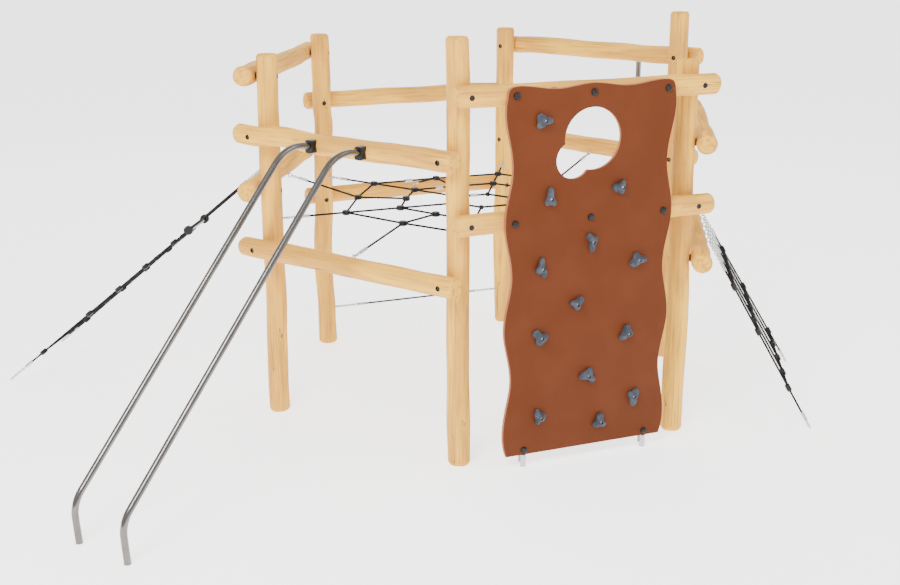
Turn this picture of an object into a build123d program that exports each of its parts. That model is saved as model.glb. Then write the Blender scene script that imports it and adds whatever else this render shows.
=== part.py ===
from build123d import *
from math import cos, pi, radians, sin
import os

# Six-post timber climbing ring with a climbing panel, two sloping bars, a pole and rope nets.
# Millimetres, +Z up. Everything is laid out about the centre of the post ring on the ground,
# and moved at the very end so that the origin is the centre of the footprint.

# ------------------------------------------------------------------ logs
ring_radius = 1650.0           # ring centre to each post centre, which is also one side of the ring
post_diameter = 150.0
tall_post_height = 2800.0
short_post_height = 2600.0
post_top_chamfer = 7.0
beam_diameter = 140.0
beam_end_round = 9.0
high_levels = (2450.0, 1650.0)     # beams of the panel, pole and left net sides
low_levels = (2050.0, 1250.0)      # beams of the bar, back and right net sides

# ------------------------------------------------------------------ beam joints
spacer_thickness = 10.0
spacer_diameter = 50.0
seat_depth = 5.0                   # flat cut into the post and into the beam at each spacer
seat_height = 110.0
bolt_diameter = 16.0
bolt_hole_clearance = 0.5          # radial
recess_diameter = 36.0
recess_depth = 20.0
bolt_head_height = 10.0
bolt_head_width = 24.0
nut_height = 13.0
nut_width = 24.0
cap_thickness = 7.0

# ------------------------------------------------------------------ climbing panel
panel_thickness = 22.0
panel_flat_depth = 8.0             # flat planed on the beams behind the panel
panel_flat_half_length = 635.0
panel_bottom = 84.0
panel_top = 2496.0
panel_top_wave = 13.0
panel_top_pitch = 503.0
panel_half_width = 577.5
panel_side_wave = 25.6
panel_side_pitch = 696.0
panel_wave_level = 1650.0          # height where the sides bulge outwards
panel_corner = 55.0
panel_edge_round = 2.5
window_centre = (3.0, 2157.0)
window_radius = 200.0
window_ear_centre = (-132.0, 2030.0)
window_ear_radius = 121.0
beam_bolt_columns = (-533.0, 3.0, 541.0)
leg_columns = (-449.0, 458.0)
leg_bolt_level = 117.0
leg_diameter = 38.0
leg_wall = 3.0
leg_plate_width = 54.0
leg_plate_thickness = 8.0
leg_plate_height = 190.0
panel_bolt_diameter = 12.0
panel_bolt_margin = 2.0            # a panel bolt stops this far short of its beam's axis
dome_diameter = 46.0
dome_height = 15.0
panel_head_diameter = 19.0
panel_head_height = 8.0

# ------------------------------------------------------------------ climbing holds
hold_places = (
    ("shard", -351.0, 2292.0, 25.0),
    ("horn", -299.0, 1797.0, 0.0),
    ("shard", 210.0, 1835.0, 150.0),
    ("horn", 8.0, 1492.0, 8.0),
    ("fin", 355.0, 1338.0, 60.0),
    ("horn", -350.0, 1346.0, 175.0),
    ("fin", -96.0, 1086.0, 0.0),
    ("shard", -348.0, 884.0, 200.0),
    ("shard", 299.0, 838.0, 170.0),
    ("shard", 3.0, 582.0, 10.0),
    ("fin", 353.0, 388.0, 130.0),
    ("horn", -343.0, 338.0, 182.0),
    ("shard", 107.0, 239.0, 205.0),
)
hold_outlines = {                  # reach from the bolt at equal angles around it
    "shard": (62.0, 38.0, 52.0, 60.0, 46.0, 36.0, 58.0, 50.0),
    "horn": (40.0, 44.0, 64.0, 42.0, 38.0, 56.0, 60.0, 54.0),
    "fin": (58.0, 34.0, 40.0, 62.0, 44.0, 50.0, 40.0, 56.0),
}
hold_depth = 46.0
hold_top_scale = 0.55
hold_twist = 14.0
hold_bolt_diameter = 10.0
hold_bolt_head = 17.0
hold_head_height = 8.0
hold_head_seat = 24.0              # panel face to the underside of the bolt head
nut_flange_diameter = 28.0
nut_flange_thickness = 2.5
nut_barrel_diameter = 14.0
nut_barrel_length = 16.0

# ------------------------------------------------------------------ sloping bars and pole
tube_diameter = 42.4
tube_wall = 2.6
tube_start = 7.0                   # beam face to the end of a tube inside its flange
bar_spacing = 430.0
bar_crest = (454.0, 43.0)          # outwards from the post line, above the beam axis
bar_knee = 2292.0                  # outwards from the post line, where the 45 degree run ends
bar_foot = 2270.0
bar_crest_radius = 300.0
bar_knee_radius = 190.0
pole_along = -215.0
pole_out = 470.0
pole_rise = 35.0
pole_bend_radius = 150.0
flange_width = 64.0
flange_height = 88.0
flange_depth = 40.0
flange_corner = 17.0
flange_edge = 6.0

# ------------------------------------------------------------------ ropes and their fittings
rope_diameter = 16.0
rope_trim = 16.0                   # a rope that ends in a clamp stops this far from its centre
clamp_diameter = 58.0
clamp_height = 34.0
clamp_round = 8.0
link_wire = 6.0
link_inner_length = 18.5
link_inner_width = 8.6
eye_wire = 8.0
eye_inner_radius = 11.0
eye_shank_margin = 10.0            # a shank stops this far short of a beam's axis
eye_collar_diameter = 22.0
eye_collar_thickness = 3.0
eye_stand = 20.0                   # wood surface to the centre of the eye
eye_seat_depth = 2.0               # the collar is let into the wood by this much
ferrule_diameter = 24.0
ferrule_length = 72.0
sleeve_diameter = 26.0
sleeve_length = 60.0
knot_diameter = 30.0
knot_height = 30.0
knot_trim = 7.0

# ------------------------------------------------------------------ centre net
net_level = 1440.0
outer_corner_radius = 1100.0
outer_middle_radius = 975.0
inner_corner_radius = 680.0
inner_middle_radius = 600.0
centre_ring_radius = 243.0
beam_eye_angle = 35.0              # how far a beam's eye leans up or down from level
post_chain_links = 4
beam_chain_links = 2

# ------------------------------------------------------------------ foot rope
foot_rope_level = 300.0
foot_rope_links = 8

# ------------------------------------------------------------------ side nets
chain_rest_height = 16.0           # centre of the lowest link above the ground
left_net_foot = 2244.0             # outwards from the post line
left_net_top_half_width = 203.0
left_net_foot_half_width = 490.0
left_net_links = (8, 8)            # at the beam and at the ground
left_net_rung = 0.304              # share of the way down
left_net_rows = (0.36, 0.47, 0.575, 0.69, 0.87)
left_net_bottom_arch = 0.03        # the last row's middle stands this much higher
puck_diameter = 70.0
puck_thickness = 34.0
rung_diameter = 33.0
rung_core_diameter = 20.0
rung_socket = 5.0
right_net_foot = 978.0
right_net_eye_spacing = 250.0
right_net_foot_half_width = 731.0
right_net_links = (8, 2)
right_net_rows = (0.25, 0.49, 0.79)

# ------------------------------------------------------------------ clearances
fixed_gap = 0.2                    # pieces that are clamped or pushed together
slide_gap = 0.3                    # faces that pass each other
running_gap = 0.05                 # the rung tube on its core, radial

# ------------------------------------------------------------------ derived sizes
post_radius = post_diameter / 2
beam_radius = beam_diameter / 2
rope_radius = rope_diameter / 2
middle_distance = ring_radius * cos(radians(30))
post_seat = post_radius - seat_depth
beam_seat = post_seat + spacer_thickness
beam_axis = beam_seat + beam_radius - seat_depth
beam_face = beam_axis + beam_radius
panel_back = beam_face - panel_flat_depth
panel_bolt_reach = beam_radius - panel_flat_depth - panel_bolt_margin
eye_shank_length = beam_radius - eye_shank_margin
link_width = link_inner_width + 2 * link_wire
panel_face = panel_back + panel_thickness
bar_along = (-bar_spacing / 2, bar_spacing / 2)

os.makedirs("parts", exist_ok=True)


class Side:
    """One side of the ring, between two posts."""

    def __init__(self, name, angle, levels, overhangs):
        self.name = name
        self.levels = levels
        self.overhangs = overhangs     # how far each beam runs past its two bolts
        self.out = Vector(cos(radians(angle)), sin(radians(angle)), 0)
        self.run = Vector(-sin(radians(angle)), cos(radians(angle)), 0)

    def at(self, along, out, up):
        """A point: along the side from its middle, out from the post line, and up."""
        return self.run * along + self.out * (middle_distance + out) + Vector(0, 0, up)

    def direction(self, along, out, up):
        return (self.run * along + self.out * out + Vector(0, 0, up)).normalized()


panel_side = Side("panel", -90, high_levels, ((79, 132), (79, 132)))
right_side = Side("right_net", -30, low_levels, ((107, 115), (135, 125)))
pole_side = Side("pole", 30, high_levels, ((125, 99), (120, 105)))
back_side = Side("back", 90, low_levels, ((115, 97), (115, 111)))
left_side = Side("left_net", 150, high_levels, ((178, 120), (132, 127)))
bars_side = Side("bars", 210, low_levels, ((158, 83), (153, 97)))
sides = (panel_side, right_side, pole_side, back_side, left_side, bars_side)
posts = {
    "front_left_post": (-120, tall_post_height),
    "front_right_post": (-60, short_post_height),
    "right_post": (0, tall_post_height),
    "back_right_post": (60, short_post_height),
    "back_left_post": (120, short_post_height),
    "left_post": (180, short_post_height),
}
post_names = tuple(posts)
nodes = {}                         # name of each sub-part, and its separate solids
up = Vector(0, 0, 1)


# ================================================================== simple shapes
def rod(start, end, radius):
    """A round bar from one point to another."""
    return Solid.make_cylinder(radius, (end - start).length, Plane(start, z_dir=end - start))


def block(plane, along, across, height):
    """A box centred on a plane's origin and standing on it."""
    return plane * Box(along, across, height, align=(Align.CENTER, Align.CENTER, Align.MIN))


def hexagon_bar(plane, width, height):
    """A hexagonal bolt head or nut standing on a plane."""
    return extrude(plane * RegularPolygon(width / 2, 6, major_radius=False), amount=height)


def without(shape, cutters):
    """A shape with all the cutters taken out of it, as one solid."""
    if not cutters:
        return shape
    cut = shape.cut(*cutters)
    return max(cut.solids(), key=lambda solid: solid.volume)


def polar(radius, angle, height):
    return Vector(radius * cos(radians(angle)), radius * sin(radians(angle)), height)


# ================================================================== joints of beams and posts
wood_cuts = {name: [] for name in post_names}
for side in sides:
    for level_name in ("upper", "lower"):
        wood_cuts[f"{side.name}_{level_name}_beam"] = []
through_bolts, through_nuts, spacers, bolt_caps = [], [], [], []


def beam_name(side, level_name):
    return f"{side.name}_{level_name}_beam"


def make_joint(side, level_name, level, end):
    """Spacer, through bolt and nut of one beam end, and the cuts that they need."""
    along = end * ring_radius / 2
    post = post_names[(sides.index(side) + (0 if end < 0 else 1)) % 6]
    beam = beam_name(side, level_name)
    hole_radius = bolt_diameter / 2 + bolt_hole_clearance
    inner_floor = -post_radius + recess_depth
    outer_floor = beam_face - recess_depth

    def cross(out):
        return Plane(side.at(along, out, level), x_dir=up, z_dir=side.out)

    hole = rod(side.at(along, -post_diameter, level), side.at(along, 2 * beam_face, level), hole_radius)
    wood_cuts[post] += [
        hole,
        block(cross(post_seat), seat_height, post_diameter, seat_height),
        rod(side.at(along, -post_diameter, level), side.at(along, inner_floor, level), recess_diameter / 2),
    ]
    wood_cuts[beam] += [
        hole,
        block(cross(beam_seat - seat_height), beam_diameter, seat_height, seat_height),
        rod(side.at(along, outer_floor, level), side.at(along, 2 * beam_face, level), recess_diameter / 2),
    ]
    disc = rod(side.at(along, post_seat, level), side.at(along, beam_seat, level), spacer_diameter / 2)
    spacers.append(without(disc, [hole]))
    shank = rod(side.at(along, inner_floor - nut_height, level), side.at(along, outer_floor, level),
                bolt_diameter / 2)
    head = hexagon_bar(cross(outer_floor), bolt_head_width, bolt_head_height)
    through_bolts.append(shank.fuse(head.solid()).solid())
    nut = hexagon_bar(cross(inner_floor - nut_height), nut_width, nut_height)
    nut_bore = rod(side.at(along, -post_diameter, level), side.at(along, 0, level),
                   bolt_diameter / 2 + fixed_gap)
    through_nuts.append(without(nut.solid(), [nut_bore]))
    if side is panel_side:
        cap_start = outer_floor + bolt_head_height + fixed_gap
        bolt_caps.append(rod(side.at(along, cap_start, level),
                             side.at(along, cap_start + cap_thickness, level),
                             recess_diameter / 2 - fixed_gap))


for side in sides:
    for level_name, level in zip(("upper", "lower"), side.levels):
        for end in (-1, 1):
            make_joint(side, level_name, level, end)


# ================================================================== rope fittings
def make_link():
    """A chain link lying in XY, its length along X."""
    reach = (link_inner_length + link_wire) / 2
    bend = (link_width - link_wire) / 2
    outline = SlotOverall(2 * reach, 2 * bend).wire()
    section = Plane((0, bend, 0), z_dir=(1, 0, 0)) * Circle(link_wire / 2)
    return sweep(section, path=outline).solid()


def make_eye_ring(inner_radius, wire):
    return Solid.make_torus(inner_radius + wire / 2, wire / 2)


def make_eye():
    """An eye screw: ring about the origin in XY, its shank running along -X."""
    ring = make_eye_ring(eye_inner_radius, eye_wire)
    back = -eye_stand - eye_shank_length
    shank = rod(Vector(back, 0, 0), Vector(-eye_inner_radius - eye_wire / 4, 0, 0), eye_wire / 2)
    seat = -eye_stand - eye_seat_depth
    collar = rod(Vector(seat, 0, 0), Vector(seat + eye_collar_thickness, 0, 0), eye_collar_diameter / 2)
    return ring.fuse(shank, collar).solid()


def make_ferrule():
    """A pressed ferrule with its thimble eye about the origin, its body running along X."""
    ring = make_eye_ring(eye_inner_radius - 2, link_wire)
    start = eye_inner_radius
    body = rod(Vector(start, 0, 0), Vector(start + ferrule_length, 0, 0), ferrule_diameter / 2)
    return ring.fuse(fillet(body.edges().filter_by(GeomType.CIRCLE), 4).solid()).solid()


link_shape, eye_shape, ferrule_shape = make_link(), make_eye(), make_ferrule()
thimble_radius = eye_inner_radius - 2
link_pitch = link_inner_length - slide_gap
chains, eyes, ferrules, clamps = [], [], [], []


def placed(shape, origin, x_dir, z_dir):
    return shape.moved(Plane(origin, x_dir=x_dir, z_dir=z_dir).location)


def square_to(direction, hint):
    """A unit vector at right angles to a direction, as near as can be to a hint."""
    return (hint - direction * hint.dot(direction)).normalized()


def lay_chain(first, direction, count, normal):
    """Links in line from the first link's centre; returns the last centre and the next normal."""
    other = direction.cross(normal)
    for number in range(count):
        spot = first + direction * (number * link_pitch)
        chains.append(placed(link_shape, spot, direction, normal if number % 2 == 0 else other))
    last = first + direction * ((count - 1) * link_pitch)
    return last, (normal if count % 2 == 0 else other)


def add_ferrule(last_link, direction, normal):
    """A ferrule whose thimble hangs in the last link; returns where the rope starts."""
    centre = last_link + direction * (link_inner_length / 2 + thimble_radius - slide_gap)
    ferrules.append(placed(ferrule_shape, centre, direction, normal))
    return centre + direction * (eye_inner_radius + ferrule_length)


def hang_rope(eye_centre, eye_out, target, links, wood):
    """Eye screw, chain and ferrule that pull towards a target; returns where the rope starts."""
    direction = (target - eye_centre).normalized()
    hint = direction.cross(eye_out)
    ring_normal = square_to(direction, up) if hint.length < 0.1 else hint.normalized()
    eyes.append(placed(eye_shape, eye_centre, eye_out, square_to(eye_out, ring_normal)))
    wood_cuts[wood].append(rod(eye_centre - eye_out * (eye_stand + eye_shank_length + 1),
                               eye_centre, eye_wire / 2 + fixed_gap))
    wood_cuts[wood].append(rod(eye_centre - eye_out * (eye_stand + eye_seat_depth), eye_centre,
                               eye_collar_diameter / 2 + 1))
    first = eye_centre + direction * (eye_inner_radius + link_inner_length / 2 - slide_gap)
    last, normal = lay_chain(first, direction, links, direction.cross(ring_normal))
    return add_ferrule(last, direction, normal)


def rest_chain(ground, target, links):
    """Chain and ferrule from the lowest link on the ground; returns where the rope starts."""
    direction = (target - ground).normalized()
    last, normal = lay_chain(ground, direction, links, square_to(direction, up))
    return add_ferrule(last, direction, normal)


class Net:
    """Ropes of one net, and the clamps that hold their crossings."""

    def __init__(self):
        self.ropes = []
        self.clamps = []

    def rope(self, start, end, start_trim=0.0, end_trim=0.0):
        """A taut rope, cut short by its trims where it ends inside a clamp."""
        line = (end - start).normalized()
        self.ropes.append((start + line * start_trim, end - line * end_trim))

    def clamp(self, centre, axis, diameter=clamp_diameter, height=clamp_height, edge=clamp_round):
        half = axis * (height / 2)
        puck = rod(centre - half, centre + half, diameter / 2)
        puck = fillet(puck.edges().filter_by(GeomType.CIRCLE), edge).solid()
        self.clamps.append((centre, puck))

    def rope_solids(self):
        return [rod(start, end, rope_radius) for start, end in self.ropes]

    def clamp_solids(self):
        """Each clamp with a bore for every rope that reaches into it."""
        solids = []
        for centre, puck in self.clamps:
            bores = []
            for start, end in self.ropes:
                line = (end - start).normalized()
                share = max(0.0, min((end - start).length, (centre - start).dot(line)))
                if (start + line * share - centre).length < clamp_diameter / 2:
                    bores.append(rod(start, end, rope_radius + fixed_gap))
            solids.append(without(puck, bores))
        return solids


# ================================================================== centre net
def make_centre_net():
    """A flat web of two rings and a hub ring, tied to the six posts and the six lower beams."""
    net, knots = Net(), Net()
    corners = [polar(outer_corner_radius, 60 * k, net_level) for k in range(6)]
    middles = [polar(outer_middle_radius, 60 * k + 30, net_level) for k in range(6)]
    inner_corners = [polar(inner_corner_radius, 60 * k, net_level) for k in range(6)]
    inner_middles = [polar(inner_middle_radius, 60 * k + 30, net_level) for k in range(6)]
    hub = [polar(centre_ring_radius, 60 * k, net_level) for k in range(6)]
    side_at = {60 * k + 30: side for k, side in
               zip(range(6), (pole_side, back_side, left_side, bars_side, panel_side, right_side))}
    for k in range(6):
        post = next(name for name in post_names if posts[name][0] % 360 == 60 * k)
        inward = polar(-1, 60 * k, 0)
        eye_centre = polar(ring_radius - post_radius - eye_stand, 60 * k, net_level)
        start = hang_rope(eye_centre, inward, hub[k], post_chain_links, post)
        net.rope(start, hub[k], 0, knot_trim)
        for ring_corners, ring_middles in ((corners, middles), (inner_corners, inner_middles)):
            net.rope(ring_corners[k], ring_middles[k], rope_trim, rope_trim)
            net.rope(ring_middles[k], ring_corners[(k + 1) % 6], rope_trim, rope_trim)
            net.clamp(ring_corners[k], up)
            net.clamp(ring_middles[k], up)
        net.rope(hub[k], hub[(k + 1) % 6], knot_trim, knot_trim)
        net.rope(middles[k], inner_middles[k], rope_trim, rope_trim)
        side = side_at[60 * k + 30]
        lean = beam_eye_angle if side.levels[1] < net_level else -beam_eye_angle
        eye_out = side.direction(0, -cos(radians(lean)), sin(radians(lean)))
        axis_point = side.at(0, beam_axis, side.levels[1])
        eye_centre = axis_point + eye_out * (beam_radius + eye_stand)
        start = hang_rope(eye_centre, eye_out, middles[k], beam_chain_links, beam_name(side, "lower"))
        net.rope(start, middles[k], 0, rope_trim)
    knots.ropes = net.ropes
    for place in hub:
        knots.clamp(place, up, knot_diameter, knot_height, 4)
    sleeves = []
    for start, end, share in ((corners[2], middles[1], 0.55), (inner_corners[2], inner_middles[1], 0.62),
                              (hub[2], hub[1], 0.5)):
        line = (end - start).normalized()
        centre = start + line * ((end - start).length * share)
        sleeve = rod(centre - line * (sleeve_length / 2), centre + line * (sleeve_length / 2),
                     sleeve_diameter / 2)
        bore = rod(centre - line * sleeve_length, centre + line * sleeve_length, rope_radius + fixed_gap)
        sleeves.append(without(sleeve, [bore]))
    nodes["centre_net_ropes"] = net.rope_solids()
    clamps.extend(net.clamp_solids())
    nodes["centre_net_hub_knots"] = knots.clamp_solids()
    nodes["centre_net_sleeves"] = sleeves


# ================================================================== foot rope
def make_foot_rope():
    """A taut rope low down between the two back posts."""
    ends = []
    for post, direction in (("back_left_post", 1), ("back_right_post", -1)):
        base = polar(ring_radius, posts[post][0], foot_rope_level)
        inward = Vector(direction, 0, 0)
        eye_centre = base + inward * (post_radius + eye_stand)
        ends.append(hang_rope(eye_centre, inward, eye_centre + inward, foot_rope_links, post))
    nodes["foot_rope"] = [rod(ends[0], ends[1], rope_radius)]


# ================================================================== side nets
def outer_eye(side, along):
    """Centre and direction of an eye screw high on the outside of a side's lower beam."""
    eye_out = side.direction(0, cos(radians(beam_eye_angle)), sin(radians(beam_eye_angle)))
    return side.at(along, beam_axis, side.levels[1]) + eye_out * (beam_radius + eye_stand), eye_out


def share_of(start, end, share):
    return start + (end - start) * share


def make_left_net():
    """A long net with a turning rung near its top."""
    side, net = left_side, Net()
    beam = beam_name(side, "lower")
    slope = share_of(outer_eye(side, 0)[0], side.at(0, left_net_foot, chain_rest_height), 1)
    fall = (slope - outer_eye(side, 0)[0]).normalized()
    normal = side.run.cross(fall)
    rungs, lines = [], []
    for hand in (-1, 1):
        eye_centre, eye_out = outer_eye(side, hand * left_net_top_half_width)
        level_foot = side.at(hand * left_net_top_half_width, left_net_foot, chain_rest_height)
        puck = share_of(eye_centre, level_foot, left_net_rung)
        ground = side.at(hand * left_net_foot_half_width, left_net_foot, chain_rest_height)
        start = hang_rope(eye_centre, eye_out, puck, left_net_links[0], beam)
        net.rope(start, puck, 0, 1)
        net.rope(puck, rest_chain(ground, puck, left_net_links[1]), 1, 0)
        rungs.append(puck)
        lines.append((puck, ground))
    rows = []
    for row in left_net_rows:
        share = (row - left_net_rung) / (1 - left_net_rung)
        ends = [share_of(puck, ground, share) for puck, ground in lines]
        middle = share_of(ends[0], ends[1], 0.5)
        if row == left_net_rows[-1]:
            middle = middle - fall * (left_net_bottom_arch * (lines[0][1] - rungs[0]).length)
        for end in ends:
            net.rope(end, middle, rope_trim, rope_trim)
            net.clamp(end, normal)
        net.clamp(middle, normal)
        rows.append(middle)
    for upper, lower in zip(rows, rows[1:]):
        net.rope(upper, lower, rope_trim, rope_trim)
    pucks = []
    for hand, centre in zip((-1, 1), rungs):
        half = side.run * (puck_thickness / 2)
        puck = rod(centre - half, centre + half, puck_diameter / 2)
        puck = fillet(puck.edges().filter_by(GeomType.CIRCLE), 3).solid()
        bores = [rod(start, end, rope_radius + fixed_gap) for start, end in net.ropes
                 if min((start - centre).length, (end - centre).length) < rope_trim]
        inner = centre - side.run * (hand * (puck_thickness / 2 - rung_socket))
        bores.append(rod(inner, inner - side.run * (hand * puck_thickness),
                         rung_core_diameter / 2 + fixed_gap))
        pucks.append(without(puck, bores))
    inset = side.run * (puck_thickness / 2)
    core_start, core_end = rungs[0] + inset, rungs[1] - inset
    socket = side.run * (rung_socket - fixed_gap)
    core = rod(core_start - socket, core_end + socket, rung_core_diameter / 2)
    gap = side.run * slide_gap
    sleeve = rod(core_start + gap, core_end - gap, rung_diameter / 2)
    bore = rod(core_start, core_end, rung_core_diameter / 2 + running_gap)
    nodes["left_net_ropes"] = net.rope_solids()
    clamps.extend(net.clamp_solids())
    nodes["left_net_rung_pucks"] = pucks
    nodes["left_net_rung_core"] = [core]
    nodes["left_net_rung_tube"] = [without(sleeve, [bore])]


def make_right_net():
    """A steep net of five ropes, the outer two of which reach the ground."""
    side, net = right_side, Net()
    beam = beam_name(side, "lower")
    top = outer_eye(side, 0)[0]
    fall = (side.at(0, right_net_foot, chain_rest_height) - top).normalized()
    normal = side.run.cross(fall)
    lines = []
    for number in range(-2, 3):
        eye_centre, eye_out = outer_eye(side, number * right_net_eye_spacing)
        foot_along = number * right_net_foot_half_width / 2
        ground = side.at(foot_along, right_net_foot, chain_rest_height)
        last_row = share_of(eye_centre, ground, right_net_rows[-1])
        start = hang_rope(eye_centre, eye_out, ground, right_net_links[0], beam)
        if abs(number) == 2:
            net.rope(start, rest_chain(ground, eye_centre, right_net_links[1]))
        else:
            net.rope(start, last_row, 0, rope_trim)
        lines.append((eye_centre, ground))
    for row in right_net_rows:
        places = [share_of(start, end, row) for start, end in lines]
        for place in places:
            net.clamp(place, normal)
        for left, right in zip(places, places[1:]):
            net.rope(left, right, rope_trim, rope_trim)
    nodes["right_net_ropes"] = net.rope_solids()
    clamps.extend(net.clamp_solids())


# ================================================================== sloping bars and pole
def make_tube(points, radii):
    """A bent round tube along a path with tangent arcs."""
    path = FilletPolyline(*points, radius=radii)
    start = Plane(points[0], z_dir=points[1] - points[0])
    outer = sweep(start * Circle(tube_diameter / 2), path=path)
    inner = sweep(start * Circle(tube_diameter / 2 - tube_wall), path=path)
    return outer.cut(inner).solid()


def make_flange(side, level, along, points):
    """A rounded square collar, saddled on its beam and bored for its tube."""
    plane = Plane(side.at(along, beam_face - beam_radius / 3, level), x_dir=side.run, z_dir=side.out)
    outline = plane * RectangleRounded(flange_width, flange_height, flange_corner)
    collar = extrude(outline, amount=beam_radius / 3 + flange_depth)
    front = collar.faces().sort_by(Axis(plane.origin, side.out))[-1]
    collar = fillet(front.edges(), flange_edge).solid()
    lead = (points[1] - points[0]).normalized()
    bore = rod(points[0] - lead * tube_diameter, points[1], tube_diameter / 2 + fixed_gap)
    log = rod(side.at(along - flange_height, beam_axis, level), side.at(along + flange_height, beam_axis, level),
              beam_radius + fixed_gap)
    return without(collar, [bore, log])


def make_bars():
    level = bars_side.levels[0]
    crest_out, crest_rise = bar_crest
    knee_level = level + crest_rise - (bar_knee - crest_out)
    flanges = []
    for hand, along in zip(("left", "right"), bar_along):
        points = [
            bars_side.at(along, beam_face + tube_start, level),
            bars_side.at(along, crest_out, level + crest_rise),
            bars_side.at(along, bar_knee, knee_level),
            bars_side.at(along, bar_foot, -tube_diameter),
        ]
        below = block(Plane((0, 0, -4 * tube_diameter)), 6 * ring_radius, 6 * ring_radius, 4 * tube_diameter)
        tube = make_tube(points, [bar_crest_radius, bar_knee_radius])
        nodes[f"sloping_bar_{hand}"] = [without(tube, [below.solid()])]
        flanges.append(make_flange(bars_side, level, along, points))
    return flanges


def make_pole():
    level = pole_side.levels[0]
    points = [
        pole_side.at(pole_along, beam_face + tube_start, level),
        pole_side.at(pole_along, pole_out, level + pole_rise),
        pole_side.at(pole_along, pole_out, 0),
    ]
    nodes["fire_pole"] = [make_tube(points, [pole_bend_radius])]
    return [make_flange(pole_side, level, pole_along, points)]


# ================================================================== climbing panel
def panel_edge(height):
    """Half the panel's width at a height, which waves as the height changes."""
    return panel_half_width + panel_side_wave * cos(2 * pi * (height - panel_wave_level) / panel_side_pitch)


def panel_crown(along):
    """Height of the panel's wavy top edge."""
    return panel_top + panel_top_wave * cos(2 * pi * along / panel_top_pitch)


def panel_outline():
    """The closed outline in the panel's own plane: wavy sides and top, straight bottom."""
    side_end = panel_top - panel_corner
    side_steps = 14
    heights = [panel_bottom + (side_end - panel_bottom) * k / side_steps for k in range(side_steps + 1)]
    right = [(panel_edge(height), height) for height in heights]
    left = [(-across, height) for across, height in reversed(right)]
    top_reach = panel_edge(side_end) - panel_corner
    top_steps = 10
    alongs = [top_reach - 2 * top_reach * k / top_steps for k in range(top_steps + 1)]
    top = [(along, panel_crown(along)) for along in alongs]
    corner = (panel_edge(side_end), panel_crown(top_reach))
    mirrored = (-corner[0], corner[1])
    edges = [
        Line(left[-1], right[0]),
        Spline(*right),
        Bezier(right[-1], corner, top[0]),
        Spline(*top),
        Bezier(top[-1], mirrored, left[0]),
        Spline(*left),
    ]
    return make_face(Curve() + edges)


def make_panel():
    side = panel_side
    plane = Plane(side.at(0, panel_back, 0), x_dir=side.run, z_dir=side.out)
    window = (Pos(*window_centre) * Circle(window_radius)) + (Pos(*window_ear_centre) * Circle(window_ear_radius))
    sheet = extrude(plane * panel_outline(), amount=panel_thickness)
    front = sheet.faces().sort_by(Axis(plane.origin, side.out))[-1]
    sheet = chamfer(front.edges(), panel_edge_round).solid()
    cuts = [extrude(plane * window, amount=2 * panel_thickness).solid()]
    for _, along, level, _ in hold_places:
        cuts.append(rod(side.at(along, 0, level), side.at(along, 2 * panel_face, level),
                        nut_barrel_diameter / 2 + fixed_gap))
    hole_radius = panel_bolt_diameter / 2 + fixed_gap
    bolts, domes, bolt_places = [], [], []
    for level_name, level in zip(("upper", "lower"), side.levels):
        for along in beam_bolt_columns:
            bolt_places.append((along, level, panel_back - panel_bolt_reach, beam_name(side, level_name)))
        step = block(Plane(side.at(0, panel_back, level), x_dir=side.run, z_dir=side.out),
                     2 * panel_flat_half_length, beam_diameter, beam_diameter)
        wood_cuts[beam_name(side, level_name)].append(step)
    for along in leg_columns:
        bolt_places.append((along, leg_bolt_level, panel_back - leg_plate_thickness - nut_height, None))
    leg_holes, leg_nuts = [], []
    for along, level, start, wood in bolt_places:
        hole = rod(side.at(along, start - 1, level), side.at(along, 2 * panel_face, level), hole_radius)
        cuts.append(hole)
        if wood:
            wood_cuts[wood].append(hole)
        else:
            leg_holes.append(hole)
            nut = hexagon_bar(Plane(side.at(along, start, level), x_dir=up, z_dir=side.out),
                              nut_width, nut_height).solid()
            leg_nuts.append(without(nut, [hole]))
        shank = rod(side.at(along, start, level), side.at(along, panel_face, level), panel_bolt_diameter / 2)
        head = rod(side.at(along, panel_face, level), side.at(along, panel_face + panel_head_height, level),
                   panel_head_diameter / 2)
        bolts.append(shank.fuse(head).solid())
        dome = rod(side.at(along, panel_face, level), side.at(along, panel_face + dome_height, level),
                   dome_diameter / 2)
        rim = dome.edges().filter_by(GeomType.CIRCLE).sort_by(Axis(plane.origin, side.out))[-1]
        dome = fillet(rim, dome_height * 0.85).solid()
        pocket = rod(side.at(along, 0, level), side.at(along, panel_face + panel_head_height + slide_gap, level),
                     panel_head_diameter / 2 + slide_gap)
        domes.append(without(dome, [pocket]))
    nodes["climbing_panel"] = [without(sheet, cuts)]
    nodes["panel_bolts"] = bolts
    nodes["panel_bolt_domes"] = domes
    nodes["panel_leg_nuts"] = leg_nuts
    make_legs(leg_holes)


def make_legs(leg_holes):
    """Two short tube legs under the panel, each with a plate up its back."""
    side = panel_side
    centre = (panel_back + panel_face) / 2
    legs = []
    for along, hole in zip(leg_columns, leg_holes):
        top = panel_bottom - slide_gap
        tube = rod(side.at(along, centre, 0), side.at(along, centre, top), leg_diameter / 2)
        bore = rod(side.at(along, centre, -1), side.at(along, centre, panel_bottom - leg_wall),
                   leg_diameter / 2 - leg_wall)
        plate = block(Plane(side.at(along, panel_back - leg_plate_thickness / 2, panel_bottom / 3),
                            x_dir=side.run, z_dir=up),
                      leg_plate_width, leg_plate_thickness, leg_plate_height)
        legs.append(without(without(tube, [bore]).fuse(plate.solid()).solid(), [hole]))
    nodes["panel_legs"] = legs


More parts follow.
